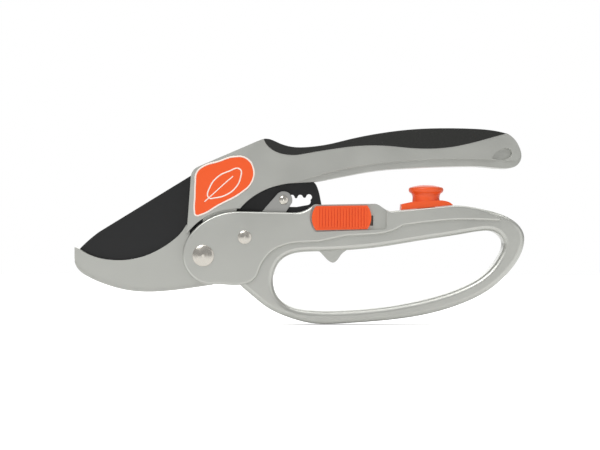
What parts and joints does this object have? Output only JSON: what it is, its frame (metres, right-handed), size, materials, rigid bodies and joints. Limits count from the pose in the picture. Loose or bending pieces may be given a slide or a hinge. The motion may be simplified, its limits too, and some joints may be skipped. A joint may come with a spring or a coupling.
{
  "type": "ratchet anvil pruning shears",
  "caption": "Ratchet anvil pruning shears with cast silver handles, a finger loop, a black blade, a black soft grip and orange trim, slider and knob.",
  "frame": {"origin": "centre of the overall box of the closed tool", "axes": "+X from the jaw tip towards the handle ends, +Z from the loop handle up to the top handle, -Y is the near side with the lock slider"},
  "size_m": [0.2058, 0.0186, 0.0894],
  "materials": {
    "cast_silver": "die-cast, satin silver lacquer",
    "blade_black": "black non-stick coating on steel",
    "grip_black": "soft matte overmould with a fine texture",
    "orange_trim": "injection moulded, semi-gloss",
    "pivot_steel": "polished nickel-plated steel",
    "link_steel": "stamped steel, satin",
    "strip_grey": "hard grey plastic"
  },
  "bodies": {
    "lower_handle": {"lower_handle": "cast_silver", "anvil_strip": "strip_grey", "main_pivot_bolt": "pivot_steel", "main_pivot_nut": "pivot_steel", "pivot_washer": "link_steel", "handle_spring": "link_steel", "link_rivet": "pivot_steel"},
    "blade": {"blade": "blade_black"},
    "upper_handle": {"upper_handle": "cast_silver", "upper_grip": "grip_black", "badge_near": "orange_trim", "badge_far": "orange_trim"},
    "ratchet_link": {"link_plate_near": "link_steel", "link_plate_far": "link_steel", "ratchet_pin": "pivot_steel"},
    "lock": {"lock_slider": "orange_trim", "lock_bar": "link_steel", "lock_screw": "link_steel"},
    "stop": {"stop_knob": "orange_trim", "stop_washer": "link_steel", "stop_screw": "link_steel"}
  },
  "joints": [
    {"name": "handle_pivot", "type": "hinge", "parent": "lower_handle", "child": "upper_handle", "pos_m": [-0.04382, 0.0004, -0.01341], "axis": [0, -1, 0], "range_deg": [0, 20.31]},
    {"name": "blade_pivot", "type": "hinge", "parent": "lower_handle", "child": "blade", "pos_m": [-0.04382, 0.0004, -0.01341], "axis": [0, 1, 0], "range_deg": [0, 18]},
    {"name": "link_pivot", "type": "hinge", "parent": "lower_handle", "child": "ratchet_link", "pos_m": [-0.02492, 0.0004, -0.00501], "axis": [0, 1, 0], "range_deg": [0, 33.2]},
    {"name": "lock_slide", "type": "slide", "parent": "lower_handle", "child": "lock", "axis": [1, 0, 0], "range_m": [0, 0.0065]},
    {"name": "knob_slide", "type": "slide", "parent": "lower_handle", "child": "stop", "axis": [-0.9956, 0, -0.0941], "range_m": [0, 0.005]}
  ],
  "couplings": [
    {"joint": "blade_pivot", "follows": "handle_pivot", "ratio": 0.88625},
    {"joint": "link_pivot", "follows": "handle_pivot", "ratio": 1.6348}
  ]
}
